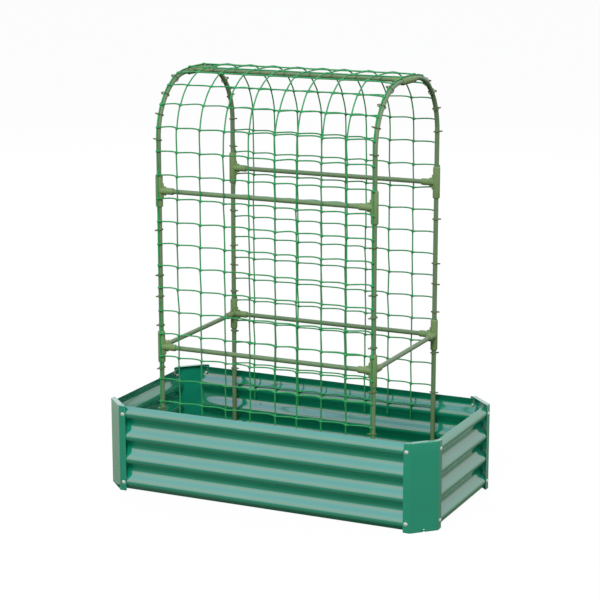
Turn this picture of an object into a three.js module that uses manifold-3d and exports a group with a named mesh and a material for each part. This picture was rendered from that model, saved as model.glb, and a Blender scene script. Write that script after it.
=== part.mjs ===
// Raised planting bed with a netted trellis tunnel.
// The bed is four corrugated steel panels screwed to four folded corner brackets and has no floor.
// The trellis is two tube hoops joined by long bars, with push-fit joints and one climbing net.
// Millimetres, +Z up, X along the bed, the front of the bed faces -Y, origin on the ground under
// the middle of the bed.

import * as THREE from 'three';
import { mergeVertices } from 'three/addons/utils/BufferGeometryUtils.js';
import Module from 'manifold-3d';

const wasm = await Module();
wasm.setup();

// ---------- bed ----------
const bedLength = 1204; // over the corner brackets
const bedWidth = 618;
const bedHeight = 300;
const cornerCut = 71; // how far a corner is cut back along each side
const flangeWidth = 24; // bracket flange that covers the end of a panel
const bracketSheet = 1.5;
const bendRadius = 3; // outside radius of the bracket's upright bends
const lipSlotWidth = 2; // open mitre between neighbouring folded lips
const drainNotchRadius = 5.3; // half-round bite in the bottom fold of the cut corner
const drainNotchHeight = 3.4;
const drainNotchDepth = 6;
const drainHoleRadius = 2.4;
const drainHoleHeight = 8.5;
const panelSheet = 1;
const panelHeight = 291;
const panelEndGap = 3; // from a panel's end to the bracket's bend
const wavePitch = 80;
const waveDepth = 20;
const crestCount = 4;
const seatGap = 0.3; // between pieces that touch
const cutPast = 1; // how far a cutting tool reaches past the face that it cuts

// ---------- screws ----------
const screwRadius = 3;
const screwFromBend = 14;
const screwHeadRadius = 6.2;
const screwHeadHeight = 3.4;
const screwCrown = { radius: 4.5, drop: 0.6 }; // where the flat top rolls over into the side
const screwTail = 2.5; // thread that stands past the nut
const nutRadius = 5.6; // over the corners
const nutHeight = 4.5;

// ---------- trellis frame ----------
const tubeRadius = 8;
const tubeWall = 1.2;
const legFromBedEnd = 218; // along X, from the bed's outer face to a leg's centre
const lowerBarHeight = 512;
const upperBarHeight = 1040;
const ridgeHeight = 1412;
const hoopBendRadius = 200;

// ---------- push-fit joints ----------
const fitGap = 0.3; // radial gap between a tube and its socket
const sleeveWall = 3.95;
const sleeveHalfLength = 54;
const branchWall = 3.2;
const branchReach = 54; // from the sleeve's axis to the branch's mouth
const branchFloor = 14.5; // from the sleeve's axis to the bottom of the branch's socket
const mouthTaper = 3.6;
const mouthRim = 1.6; // wall left at a tapered mouth
const stopThickness = 2; // wall inside the sleeve that both tubes meet
const gussetThickness = 5;
const gussetLowStep = { reach: 13, rise: 3.8 };
const gussetHighStep = { reach: 4.3, rise: 13.8 };

// ---------- climbing net ----------
const meshColumns = 9;
const meshRows = 35;
const strandWidth = 4.2;
const strandThickness = 3.4;
const netFoot = 217; // height of the lower ends of the net
const tailLength = 44; // loose ends below the first and last rows
const netToPanel = 2.25; // clearance between the net and the troughs of the panels

// ---------- smoothness ----------
const tubeSides = 8; // tubes and joints alike, so that their flats stay parallel
const hoopSteps = 7;
const waveSteps = 8; // facets in one full corrugation
const screwSides = 8;
const nutSides = 6;
const drainSides = 12;

const TAU = 2 * Math.PI;
const tubeBore = tubeRadius - tubeWall;
const socketRadius = tubeRadius + fitGap;
const sleeveRadius = socketRadius + sleeveWall;
const branchRadius = socketRadius + branchWall;
const crestInset = bracketSheet + seatGap; // from the bracket's outer face to the panel's crests
const troughInset = crestInset + waveDepth + panelSheet;
const netOffset = sleeveRadius + seatGap; // from the tubes' centre line to the net's inner face
const halfFrameLength = bedLength / 2 - legFromBedEnd;
const halfFrameWidth = bedWidth / 2 - troughInset - netToPanel - strandThickness - netOffset;

const greenPaint = { color: 0x2f8767, roughness: 0.32, metalness: 0.35 };
const bracketPaint = { color: 0x2b8568, roughness: 0.4, metalness: 0.3 };
const coatedTube = { color: 0x6c8264, roughness: 0.45, metalness: 0.0 };
const jointPlastic = { color: 0x768f5c, roughness: 0.55, metalness: 0.0 };
const netPlastic = { color: 0x3d9b64, roughness: 0.5, metalness: 0.0 };
const zincPlate = { color: 0xc9ccc8, roughness: 0.3, metalness: 0.9 };

const planter = new THREE.Group();

// ---------- joining and cutting ----------
// A closed geometry as a solid.
function toSolid(geometry) {
  const bare = geometry.clone();
  bare.deleteAttribute('normal');
  bare.deleteAttribute('uv');
  const merged = mergeVertices(bare, 1e-4);
  return new wasm.Manifold(new wasm.Mesh({
    numProp: 3,
    vertProperties: new Float32Array(merged.attributes.position.array),
    triVerts: new Uint32Array(merged.index.array),
  }));
}

// A solid as a geometry.
function toGeometry(solid) {
  const mesh = solid.getMesh();
  const geometry = new THREE.BufferGeometry();
  geometry.setAttribute('position', new THREE.BufferAttribute(mesh.vertProperties, 3));
  geometry.setIndex(new THREE.BufferAttribute(mesh.triVerts, 1));
  geometry.computeVertexNormals();
  return geometry;
}

function joined(geometries) {
  return geometries.map(toSolid).reduce((sum, next) => sum.add(next));
}

function cut(body, tools) {
  return tools.map(toSolid).reduce((rest, tool) => rest.subtract(tool), body);
}

function place(name, geometry, finish, position = [0, 0, 0], turn = [0, 0, 0]) {
  const mesh = new THREE.Mesh(geometry, new THREE.MeshStandardMaterial(finish));
  mesh.name = name;
  mesh.position.set(...position);
  mesh.rotation.set(...turn);
  planter.add(mesh);
}

// A round geometry that stands on the origin along +Y, turned to run from one point to another.
function aimed(geometry, from, to) {
  const start = new THREE.Vector3(...from);
  const axis = new THREE.Vector3(...to).sub(start).normalize();
  const standing = new THREE.Vector3(0, 1, 0);
  geometry.applyQuaternion(new THREE.Quaternion().setFromUnitVectors(standing, axis));
  return geometry.translate(start.x, start.y, start.z);
}

// A round bar between two points of its axis.
function rod(radius, from, to, sides) {
  const length = new THREE.Vector3(...from).distanceTo(new THREE.Vector3(...to));
  const bar = new THREE.CylinderGeometry(radius, radius, length, sides).translate(0, length / 2, 0);
  return aimed(bar, from, to);
}

// A flat plan outline drawn up from one height to another.
function upright(shape, bottom, top) {
  const geometry = new THREE.ExtrudeGeometry(shape, {
    depth: top - bottom,
    bevelEnabled: false,
    curveSegments: 1,
  });
  return geometry.translate(0, 0, bottom);
}

// ---------- corrugated panels ----------
const panelBottom = (bedHeight - panelHeight) / 2;
const firstCrest = bedHeight / 2 - (crestCount - 1) * wavePitch / 2;
const lastCrest = bedHeight / 2 + (crestCount - 1) * wavePitch / 2;

// How far the panel's outer face lies inside the bracket's outer face at a height.
function waveInset(height) {
  const phase = TAU * (height - firstCrest) / wavePitch;
  return crestInset + waveDepth / 2 * (1 - Math.cos(phase));
}

// Unit normal of the panel's section at a height, pointing into the bed.
function waveNormal(height) {
  const phase = TAU * (height - firstCrest) / wavePitch;
  const slope = waveDepth / 2 * Math.sin(phase) * TAU / wavePitch;
  return new THREE.Vector2(1, -slope).normalize();
}

// Heights of the section's points: the two edges, and between them steps that meet every crest.
function sectionHeights() {
  const step = wavePitch / waveSteps;
  const panelTop = panelBottom + panelHeight;
  const heights = [panelBottom];
  const stepsBelowCrest = Math.ceil((firstCrest - panelBottom) / step) - 1;
  for (let height = firstCrest - stepsBelowCrest * step; height < panelTop; height += step) {
    heights.push(height);
  }
  return [...heights, panelTop];
}

// A panel of one length, lying along X with its outer side at y = 0 and facing -Y.
function corrugatedPanel(length) {
  const outer = [];
  const inner = [];
  for (const height of sectionHeights()) {
    const normal = waveNormal(height);
    const inset = waveInset(height);
    outer.push(new THREE.Vector2(inset, height));
    inner.push(new THREE.Vector2(inset + normal.x * panelSheet, height + normal.y * panelSheet));
  }
  const section = new THREE.Shape([...outer, ...inner.reverse()]);
  const sheet = new THREE.ExtrudeGeometry(section, { depth: length, bevelEnabled: false });
  sheet.applyMatrix4(new THREE.Matrix4().makeBasis(
    new THREE.Vector3(0, 1, 0),
    new THREE.Vector3(0, 0, 1),
    new THREE.Vector3(1, 0, 0),
  ));
  sheet.translate(-length / 2, 0, 0);
  const holes = [];
  for (const side of [-1, 1]) {
    for (const height of [firstCrest, lastCrest]) {
      const along = side * (length / 2 + panelEndGap - screwFromBend);
      holes.push(rod(screwRadius + seatGap, [along, 0, height], [along, waveDepth, height], nutSides));
    }
  }
  return toGeometry(cut(toSolid(sheet), holes));
}

const longPanel = corrugatedPanel(bedLength - 2 * (cornerCut + panelEndGap));
const shortPanel = corrugatedPanel(bedWidth - 2 * (cornerCut + panelEndGap));
place('panel_front', longPanel, greenPaint, [0, -bedWidth / 2, 0]);
place('panel_back', longPanel, greenPaint, [0, bedWidth / 2, 0], [0, 0, Math.PI]);
place('panel_right', shortPanel, greenPaint, [bedLength / 2, 0, 0], [0, 0, Math.PI / 2]);
place('panel_left', shortPanel, greenPaint, [-bedLength / 2, 0, 0], [0, 0, -Math.PI / 2]);

// ---------- corner brackets ----------
// Drawn at the front right corner, with the sharp corner of the bed's outline at the origin.
const bendSetback = bendRadius * Math.tan(Math.PI / 8);
const firstBend = new THREE.Vector2(-cornerCut, 0);
const secondBend = new THREE.Vector2(0, cornerCut);
const firstBendCentre = new THREE.Vector2(-cornerCut - bendSetback, bendRadius);
const secondBendCentre = new THREE.Vector2(-bendRadius, cornerCut + bendSetback);
const flangeEnd = cornerCut + flangeWidth;

// The outside of the bracket's plan, from the front flange's end to the side flange's end.
function traceOutside(path) {
  path.moveTo(-flangeEnd, 0);
  path.absarc(firstBendCentre.x, firstBendCentre.y, bendRadius, -Math.PI / 2, -Math.PI / 4, false);
  path.absarc(secondBendCentre.x, secondBendCentre.y, bendRadius, -Math.PI / 4, 0, false);
  path.lineTo(0, flangeEnd);
}

function bracketWall() {
  const shape = new THREE.Shape();
  const insideRadius = bendRadius - bracketSheet;
  traceOutside(shape);
  shape.lineTo(-bracketSheet, flangeEnd);
  shape.absarc(secondBendCentre.x, secondBendCentre.y, insideRadius, 0, -Math.PI / 4, true);
  shape.absarc(firstBendCentre.x, firstBendCentre.y, insideRadius, -Math.PI / 4, -Math.PI / 2, true);
  shape.lineTo(-flangeEnd, bracketSheet);
  shape.closePath();
  return upright(shape, 0, bedHeight);
}

// The folded lips, which reach from the wall to a straight line between the flange ends.
function bracketLips(bottom) {
  const shape = new THREE.Shape();
  traceOutside(shape);
  shape.closePath();
  return upright(shape, bottom, bottom + bracketSheet);
}

// A slot from a bend to the lips' inner edge, which lets each lip fold by itself.
function mitreSlot(bend, centre, bottom) {
  const inward = centre.clone().sub(bend).normalize();
  const across = new THREE.Vector2(-inward.y, inward.x).multiplyScalar(lipSlotWidth / 2);
  const start = bend.clone().addScaledVector(inward, -cutPast);
  const end = bend.clone().addScaledVector(inward, flangeWidth);
  const slot = new THREE.Shape([
    start.clone().sub(across),
    end.clone().sub(across),
    end.clone().add(across),
    start.clone().add(across),
  ]);
  return upright(slot, bottom - cutPast, bottom + bracketSheet + cutPast);
}

function cornerBracket() {
  const tools = [];
  for (const bottom of [0, bedHeight - bracketSheet]) {
    tools.push(mitreSlot(firstBend, firstBendCentre, bottom));
    tools.push(mitreSlot(secondBend, secondBendCentre, bottom));
  }
  for (const height of [firstCrest, lastCrest]) {
    const along = cornerCut + screwFromBend;
    const radius = screwRadius + seatGap;
    const depth = bracketSheet + cutPast;
    tools.push(rod(radius, [-along, -cutPast, height], [-along, depth, height], nutSides));
    tools.push(rod(radius, [cutPast, along, height], [-depth, along, height], nutSides));
  }
  const half = cornerCut / 2;
  const outwards = Math.SQRT1_2;
  const biteFrom = [-half - drainNotchDepth * outwards, half + drainNotchDepth * outwards];
  const biteTo = [-half + cutPast * outwards, half - cutPast * outwards];
  const biteHeight = drainNotchHeight - drainNotchRadius;
  tools.push(rod(drainNotchRadius, [...biteFrom, biteHeight], [...biteTo, biteHeight], drainSides));
  tools.push(
    rod(drainHoleRadius, [...biteFrom, drainHoleHeight], [...biteTo, drainHoleHeight], drainSides),
  );
  const body = joined([bracketWall(), bracketLips(0), bracketLips(bedHeight - bracketSheet)]);
  return toGeometry(cut(body, tools));
}

const bracket = cornerBracket();
const corners = [
  { name: 'front_right', x: 1, y: -1, turn: 0 },
  { name: 'back_right', x: 1, y: 1, turn: Math.PI / 2 },
  { name: 'back_left', x: -1, y: 1, turn: Math.PI },
  { name: 'front_left', x: -1, y: -1, turn: -Math.PI / 2 },
];
for (const corner of corners) {
  const position = [corner.x * bedLength / 2, corner.y * bedWidth / 2, 0];
  place(`bracket_${corner.name}`, bracket, bracketPaint, position, [0, 0, corner.turn]);
}

// ---------- screws with nuts ----------
// Pan head outside the bracket, nut inside the crest of the panel. The axis is Y, and the
// bracket's outer face is y = 0, with the bed's inside towards +Y.
const facetTop = firstCrest + wavePitch / waveSteps; // end of the panel's facet above the crest
const facetRise = wavePitch / waveSteps + waveNormal(facetTop).y * panelSheet;
const facetRun = waveInset(facetTop) + waveNormal(facetTop).x * panelSheet - crestInset - panelSheet;
const nutSeat = crestInset + panelSheet + facetRun * nutRadius / facetRise + seatGap;

function screwWithNut() {
  const nutEnd = nutSeat + nutHeight;
  const head = new THREE.LatheGeometry([
    new THREE.Vector2(0, -seatGap - screwHeadHeight),
    new THREE.Vector2(screwCrown.radius, -seatGap - screwHeadHeight + screwCrown.drop),
    new THREE.Vector2(screwHeadRadius, -seatGap),
    new THREE.Vector2(0, -seatGap),
  ], screwSides);
  const shankAndNut = new THREE.LatheGeometry([
    new THREE.Vector2(0, -screwHeadHeight / 2),
    new THREE.Vector2(screwRadius, -screwHeadHeight / 2),
    new THREE.Vector2(screwRadius, nutSeat),
    new THREE.Vector2(nutRadius, nutSeat),
    new THREE.Vector2(nutRadius, nutEnd),
    new THREE.Vector2(screwRadius, nutEnd),
    new THREE.Vector2(screwRadius, nutEnd + screwTail),
    new THREE.Vector2(0, nutEnd + screwTail),
  ], nutSides);
  return toGeometry(joined([head, shankAndNut]));
}

const screw = screwWithNut();
for (const corner of corners) {
  for (const [level, height] of [['lower', firstCrest], ['upper', lastCrest]]) {
    const inset = cornerCut + screwFromBend;
    place(
      `screw_${corner.name}_long_${level}`,
      screw,
      zincPlate,
      [corner.x * (bedLength / 2 - inset), corner.y * bedWidth / 2, height],
      [0, 0, corner.y < 0 ? 0 : Math.PI],
    );
    place(
      `screw_${corner.name}_short_${level}`,
      screw,
      zincPlate,
      [corner.x * bedLength / 2, corner.y * (bedWidth / 2 - inset), height],
      [0, 0, corner.x * Math.PI / 2],
    );
  }
}

// ---------- trellis tubes ----------
// A straight hollow tube that runs from the origin in a direction.
function straightTube(length, direction) {
  const wall = [
    new THREE.Vector2(tubeBore, 0),
    new THREE.Vector2(tubeRadius, 0),
    new THREE.Vector2(tubeRadius, length),
    new THREE.Vector2(tubeBore, length),
    new THREE.Vector2(tubeBore, 0),
  ];
  return aimed(new THREE.LatheGeometry(wall, tubeSides), [0, 0, 0], direction);
}

const tubeStop = stopThickness / 2 + seatGap; // from a sleeve's middle to a tube's end
const barStop = branchFloor + seatGap; // from a sleeve's axis to a bar's end

const leg = straightTube(lowerBarHeight - tubeStop, [0, 0, 1]);
const post = straightTube(upperBarHeight - lowerBarHeight - 2 * tubeStop, [0, 0, 1]);
const longBar = straightTube(2 * (halfFrameLength - barStop), [1, 0, 0]);
const endBar = straightTube(2 * (halfFrameWidth - barStop), [0, 1, 0]);

for (const corner of corners) {
  const x = corner.x * halfFrameLength;
  const y = corner.y * halfFrameWidth;
  place(`leg_${corner.name}`, leg, coatedTube, [x, y, 0]);
  place(`post_${corner.name}`, post, coatedTube, [x, y, lowerBarHeight + tubeStop]);
}
const longBarStart = -halfFrameLength + barStop;
for (const [side, sign] of [['front', -1], ['back', 1]]) {
  const y = sign * halfFrameWidth;
  place(`lower_bar_${side}`, longBar, coatedTube, [longBarStart, y, lowerBarHeight]);
  place(`upper_bar_${side}`, longBar, coatedTube, [longBarStart, y, upperBarHeight]);
}
for (const [side, sign] of [['left', -1], ['right', 1]]) {
  const start = [sign * halfFrameLength, -halfFrameWidth + barStop, lowerBarHeight];
  place(`end_bar_${side}`, endBar, coatedTube, start);
}
// The ridge bar and its joints are turned a quarter about X, as they lie on the hoops.
const quarterAboutX = [Math.PI / 2, 0, 0];
place('ridge_bar', longBar, coatedTube, [longBarStart, 0, ridgeHeight], quarterAboutX);

// ---------- bent hoop tubes ----------
// Each is a quarter of a hoop: up from the tee joint, round the shoulder, level to the ridge.
const shoulderY = halfFrameWidth - hoopBendRadius; // where the level stretch begins
const shoulderZ = ridgeHeight - hoopBendRadius; // where the bend begins

class HoopCurve extends THREE.Curve {
  // The first step is the upright stretch, the last is the level one and the others share the bend.
  getPoint(t, target = new THREE.Vector3()) {
    const step = t * hoopSteps;
    const bendSteps = hoopSteps - 2;
    const risen = Math.min(step, 1) * (shoulderZ - upperBarHeight - tubeStop);
    const turned = THREE.MathUtils.clamp(step - 1, 0, bendSteps) / bendSteps * Math.PI / 2;
    const run = Math.max(step - 1 - bendSteps, 0) * (shoulderY - tubeStop);
    return target.set(
      0,
      -shoulderY - hoopBendRadius * Math.cos(turned) + run,
      upperBarHeight + tubeStop + risen + hoopBendRadius * Math.sin(turned),
    );
  }

  // Keeps the sections where getPoint puts them.
  getUtoTmapping(u) {
    return u;
  }
}

function tubeSection() {
  const ring = new THREE.Shape();
  ring.absarc(0, 0, tubeRadius, 0, TAU, false);
  const bore = new THREE.Path();
  bore.absarc(0, 0, tubeBore, 0, TAU, true);
  ring.holes.push(bore);
  return ring;
}

const hoopTube = new THREE.ExtrudeGeometry(tubeSection(), {
  steps: hoopSteps,
  extrudePath: new HoopCurve(),
  curveSegments: tubeSides / 2,
});
for (const corner of corners) {
  const turn = corner.y < 0 ? 0 : Math.PI;
  place(`hoop_tube_${corner.name}`, hoopTube, coatedTube, [corner.x * halfFrameLength, 0, 0], [0, 0, turn]);
}

// ---------- push-fit joints ----------
// A tapered round body along +Y with a flat base at the origin.
function taperedBranch() {
  const profile = [
    new THREE.Vector2(0, 0),
    new THREE.Vector2(branchRadius, 0),
    new THREE.Vector2(branchRadius, branchReach - mouthTaper),
    new THREE.Vector2(socketRadius + mouthRim, branchReach),
    new THREE.Vector2(0, branchReach),
  ];
  return new THREE.LatheGeometry(profile, tubeSides);
}

function taperedSleeve() {
  const profile = [
    new THREE.Vector2(0, -sleeveHalfLength),
    new THREE.Vector2(socketRadius + mouthRim, -sleeveHalfLength),
    new THREE.Vector2(sleeveRadius, -sleeveHalfLength + mouthTaper),
    new THREE.Vector2(sleeveRadius, sleeveHalfLength - mouthTaper),
    new THREE.Vector2(socketRadius + mouthRim, sleeveHalfLength),
    new THREE.Vector2(0, sleeveHalfLength),
  ];
  return new THREE.LatheGeometry(profile, tubeSides).rotateX(Math.PI / 2);
}

// Two-step webs in the corners above and below a branch that points along +X.
function steppedGussets() {
  const root = (socketRadius + sleeveRadius) / 2; // inside the sleeve's wall
  const low = sleeveRadius + gussetLowStep.reach;
  const high = sleeveRadius + gussetHighStep.reach;
  const lowTop = branchRadius + gussetLowStep.rise;
  const highTop = branchRadius + gussetHighStep.rise;
  const web = new THREE.Shape();
  web.moveTo(root, -highTop);
  web.lineTo(high, -highTop);
  web.lineTo(high, -lowTop);
  web.lineTo(low, -lowTop);
  web.lineTo(low, lowTop);
  web.lineTo(high, lowTop);
  web.lineTo(high, highTop);
  web.lineTo(root, highTop);
  web.closePath();
  const geometry = new THREE.ExtrudeGeometry(web, { depth: gussetThickness, bevelEnabled: false });
  return geometry.translate(0, 0, -gussetThickness / 2).rotateX(Math.PI / 2);
}

// A joint whose sleeve stands along Z, with branches at the given angles from +X about Z.
function pushFitJoint(branchAngles) {
  const bodies = [taperedSleeve()];
  const sockets = [
    rod(socketRadius, [0, 0, stopThickness / 2], [0, 0, sleeveHalfLength + cutPast], tubeSides),
    rod(socketRadius, [0, 0, -sleeveHalfLength - cutPast], [0, 0, -stopThickness / 2], tubeSides),
  ];
  for (const angle of branchAngles) {
    bodies.push(taperedBranch().rotateZ(angle - Math.PI / 2));
    bodies.push(steppedGussets().rotateZ(angle));
    const socketEnd = [branchReach + cutPast, 0, 0];
    const socket = rod(socketRadius, [branchFloor, 0, 0], socketEnd, tubeSides);
    sockets.push(socket.rotateZ(angle));
  }
  return toGeometry(cut(joined(bodies), sockets));
}

const teeJoint = pushFitJoint([0]);
for (const corner of corners) {
  const towardsMiddle = corner.x > 0 ? Math.PI : 0;
  const position = [corner.x * halfFrameLength, corner.y * halfFrameWidth];
  const branches = [towardsMiddle, corner.y > 0 ? -Math.PI / 2 : Math.PI / 2];
  const cornerJoint = pushFitJoint(branches);
  place(`corner_joint_${corner.name}`, cornerJoint, jointPlastic, [...position, lowerBarHeight]);
  place(
    `tee_joint_${corner.name}`,
    teeJoint,
    jointPlastic,
    [...position, upperBarHeight],
    [0, 0, towardsMiddle],
  );
}
for (const [side, sign] of [['left', -1], ['right', 1]]) {
  const position = [sign * halfFrameLength, 0, ridgeHeight];
  const towardsMiddle = sign > 0 ? Math.PI : 0;
  place(`ridge_joint_${side}`, teeJoint, jointPlastic, position, [Math.PI / 2, towardsMiddle, 0]);
}

// ---------- climbing net ----------
// One net lies over both hoops: up the front, round the top and down the back. A point of it is
// given by its distance along the net from the middle of the roof, its x and its height above the
// net's inner face. Each strand is flat inside and has a ridge along its outside.
const netBendRadius = hoopBendRadius + netOffset;
const netBendLength = netBendRadius * Math.PI / 2;
const netHalf = shoulderY + netBendLength + shoulderZ - netFoot; // from the middle to a loose end

function netPoint(distance, x, level) {
  const side = Math.sign(distance);
  const past = Math.abs(distance) - shoulderY;
  if (past <= 0) {
    return [x, distance, ridgeHeight + netOffset + level];
  }
  if (past <= netBendLength) {
    const angle = past / netBendRadius;
    const radius = netBendRadius + level;
    return [x, side * (shoulderY + radius * Math.sin(angle)), shoulderZ + radius * Math.cos(angle)];
  }
  return [x, side * (shoulderY + netBendRadius + level), shoulderZ - (past - netBendLength)];
}

// The sections along the net: a row's strand lies at some, and the others only follow the bend or
// end the loose tails.
function netSections() {
  const lastRow = netHalf - tailLength;
  const bare = [shoulderY, shoulderY + netBendLength, netHalf];
  const sections = bare.flatMap((at) => [{ at, half: 0 }, { at: -at, half: 0 }]);
  for (let row = 0; row <= meshRows; row += 1) {
    sections.push({ at: lastRow * (2 * row / meshRows - 1), half: strandWidth / 2 });
  }
  return sections.sort((a, b) => a.at - b.at);
}

function climbingNet() {
  const half = strandWidth / 2;
  const points = [];
  const face = (a, b, c, d) => points.push(...a, ...b, ...c, ...(d ? [...a, ...c, ...d] : []));
  const ridge = (section, x) => netPoint(section.at, x, strandThickness);
  const foot = (section, end, x) => netPoint(section.at + end * section.half, x, 0);
  const columns = [];
  for (let column = 0; column <= meshColumns; column += 1) {
    columns.push(halfFrameLength * (2 * column / meshColumns - 1));
  }
  const sections = netSections();

  sections.slice(1).forEach((next, index) => {
    const last = sections[index];
    for (const x of columns) {
      const [left, right] = [x - half, x + half];
      face(ridge(last, x), ridge(next, x), foot(next, -1, left), foot(last, 1, left));
      face(ridge(next, x), ridge(last, x), foot(last, 1, right), foot(next, -1, right));
      face(foot(last, 1, left), foot(next, -1, left), foot(next, -1, right), foot(last, 1, right));
    }
  });
  for (const row of sections.filter((section) => section.half > 0)) {
    columns.forEach((x, index) => {
      const [left, right] = [x - half, x + half];
      face(foot(row, -1, left), foot(row, 1, left), foot(row, 1, right), foot(row, -1, right));
      if (index < meshColumns) {
        const [nextX, nextLeft] = [columns[index + 1], columns[index + 1] - half];
        face(ridge(row, x), ridge(row, nextX), foot(row, 1, nextLeft), foot(row, 1, right));
        face(ridge(row, nextX), ridge(row, x), foot(row, -1, right), foot(row, -1, nextLeft));
        face(
          foot(row, -1, right),
          foot(row, 1, right),
          foot(row, 1, nextLeft),
          foot(row, -1, nextLeft),
        );
      }
    });
    face(ridge(row, columns[0]), foot(row, 1, columns[0] - half), foot(row, -1, columns[0] - half));
    const lastX = columns[meshColumns];
    face(ridge(row, lastX), foot(row, -1, lastX + half), foot(row, 1, lastX + half));
  }
  const [start, end] = [sections[0], sections[sections.length - 1]];
  for (const x of columns) {
    face(ridge(start, x), foot(start, 0, x - half), foot(start, 0, x + half));
    face(ridge(end, x), foot(end, 0, x + half), foot(end, 0, x - half));
  }
  const soup = new THREE.BufferGeometry();
  soup.setAttribute('position', new THREE.Float32BufferAttribute(points, 3));
  const geometry = mergeVertices(soup, 1e-3);
  geometry.computeVertexNormals();
  return geometry;
}

place('climbing_net', climbingNet(), netPlastic);

export default planter;
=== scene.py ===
# A raised planting bed with a netted trellis tunnel over it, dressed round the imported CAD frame.
# Metres, +Z up; the front of the bed faces -Y and the origin is on the ground under its middle.
import math

import bmesh
import bpy
import numpy as np
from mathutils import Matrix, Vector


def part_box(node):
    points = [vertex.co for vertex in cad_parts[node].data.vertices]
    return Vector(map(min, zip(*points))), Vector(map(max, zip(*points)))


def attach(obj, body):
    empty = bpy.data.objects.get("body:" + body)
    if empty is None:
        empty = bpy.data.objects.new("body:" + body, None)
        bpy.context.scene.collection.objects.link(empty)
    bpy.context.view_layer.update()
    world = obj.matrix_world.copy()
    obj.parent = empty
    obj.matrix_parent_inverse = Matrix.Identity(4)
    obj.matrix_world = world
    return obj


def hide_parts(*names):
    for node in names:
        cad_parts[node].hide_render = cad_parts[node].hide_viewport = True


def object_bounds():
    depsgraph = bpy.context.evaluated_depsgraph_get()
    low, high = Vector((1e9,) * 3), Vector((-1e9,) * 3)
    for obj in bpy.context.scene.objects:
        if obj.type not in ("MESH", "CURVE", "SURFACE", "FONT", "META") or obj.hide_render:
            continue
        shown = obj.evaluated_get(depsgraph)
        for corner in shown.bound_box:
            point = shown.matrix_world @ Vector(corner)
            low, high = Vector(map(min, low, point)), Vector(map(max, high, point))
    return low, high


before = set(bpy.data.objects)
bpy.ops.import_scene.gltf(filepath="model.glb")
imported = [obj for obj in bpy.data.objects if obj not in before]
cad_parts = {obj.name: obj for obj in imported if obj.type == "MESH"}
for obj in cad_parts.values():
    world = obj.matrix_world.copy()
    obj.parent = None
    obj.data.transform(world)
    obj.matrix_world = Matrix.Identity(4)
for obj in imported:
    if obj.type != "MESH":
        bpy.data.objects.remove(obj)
cad_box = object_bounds()

# ---------- corrugated panels ----------
# Four sheets of 1 mm steel, roll-formed into waves of 80 by 20 mm and painted glossy green on both sides, the
# inner side a darker green that is painted shade for the inside of the bed. Each stands on its edge, and its
# ends are screwed behind the flanges of two brackets.
MM = 0.001
WAVE_PITCH = 80 * MM
WAVE_DEPTH = 20 * MM
FIRST_CREST = 30 * MM  # height of the lowest crest
PANEL_SHEET = 1 * MM
RIM_ROUND = 0.25 * MM  # how far the cut edges bulge between the two faces
PAINT_WAVES = {"tone": 4.0, "dents": 7.0, "mist": 60.0, "peel": 420.0}  # noise waves to the metre
PANEL_ROWS = 97
PANEL_COLUMNS = 13
MERGE_WITHIN = 0.005 * MM  # of the points that patches share
GREEN_PAINT = ((0.004, 0.262, 0.140, 1), (0.003, 0.240, 0.127, 1))
INNER_PAINTED_SHADE = ((0.003, 0.225, 0.114, 1), (0.002, 0.195, 0.098, 1))  # painted shade: a darker paint for the side that faces into the bed


def quads(rows, columns, rows_close=False, columns_close=False):
    """Faces between the points of a grid numbered row by row; closing joins the last to the first."""
    row = np.arange(rows if rows_close else rows - 1)[:, None]
    column = np.arange(columns if columns_close else columns - 1)[None, :]
    beside = (column + 1) % columns
    here = row * columns
    above = (row + 1) % rows * columns
    corners = np.broadcast_arrays(here + column, here + beside, above + beside, above + column)
    return np.stack(corners, axis=-1).reshape(-1, 4)


def points_of(x, y, z):
    """Points whose coordinates are spread over one another's rows and columns."""
    return np.stack(np.broadcast_arrays(x, y, z), axis=-1)


def mesh_of(name, patches, sharp=35, faces_away_from=None):
    """One mesh from patches of points and faces: doubles merged, normals outwards, crisp where the
    faces turn by more than an angle. An open sheet faces away from a point given for it."""
    points = [np.reshape(patch[0], (-1, 3)) for patch in patches]
    starts = np.cumsum([0] + [len(part) for part in points])
    faces = []
    for (_, corners), start in zip(patches, starts):
        faces += (np.asarray(corners).reshape(-1, np.shape(corners)[-1]) + start).tolist()
    mesh = bpy.data.meshes.new(name)
    mesh.from_pydata(np.concatenate(points).tolist(), [], faces)
    work = bmesh.new()
    work.from_mesh(mesh)
    bmesh.ops.remove_doubles(work, verts=work.verts, dist=MERGE_WITHIN)
    bmesh.ops.recalc_face_normals(work, faces=work.faces)
    if faces_away_from is not None:
        away = sum(
            face.calc_area() * face.normal.dot(face.calc_center_median() - faces_away_from)
            for face in work.faces
        )
        if away < 0:
            bmesh.ops.reverse_faces(work, faces=work.faces)
    work.to_mesh(mesh)
    work.free()
    return shaded(mesh, sharp)


def shaded(mesh, sharp=35):
    """Smooth shading, with the edges sharper than an angle in degrees kept crisp."""
    mesh.shade_smooth()
    mesh.set_sharp_from_angle(angle=math.radians(sharp))
    return mesh


def new_object(name, data):
    """An object at the origin, linked to the scene."""
    made = bpy.data.objects.new(name, data)
    bpy.context.scene.collection.objects.link(made)
    return made


def piece(name, mesh, finish, nodes=()):
    """An object of the planter that rides on its one body and stands for CAD nodes."""
    made = new_object(name, mesh)
    mesh.materials.clear()
    mesh.materials.append(finish)
    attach(made, "root")
    if nodes:
        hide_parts(*nodes)
    return made


def box_of(name):
    """Lowest and highest corner of a CAD node."""
    return (np.array(corner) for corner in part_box(name))


def node(tree, kind, inputs=None, **settings):
    """A node of a kind named without ShaderNode in front; inputs maps a socket's name or number to
    a value or to another node's socket."""
    made = tree.nodes.new("ShaderNode" + kind)
    for key, value in settings.items():
        setattr(made, key, value)
    for key, value in (inputs or {}).items():
        if isinstance(value, bpy.types.NodeSocket):
            tree.links.new(value, made.inputs[key])
        else:
            made.inputs[key].default_value = value
    return made


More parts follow.
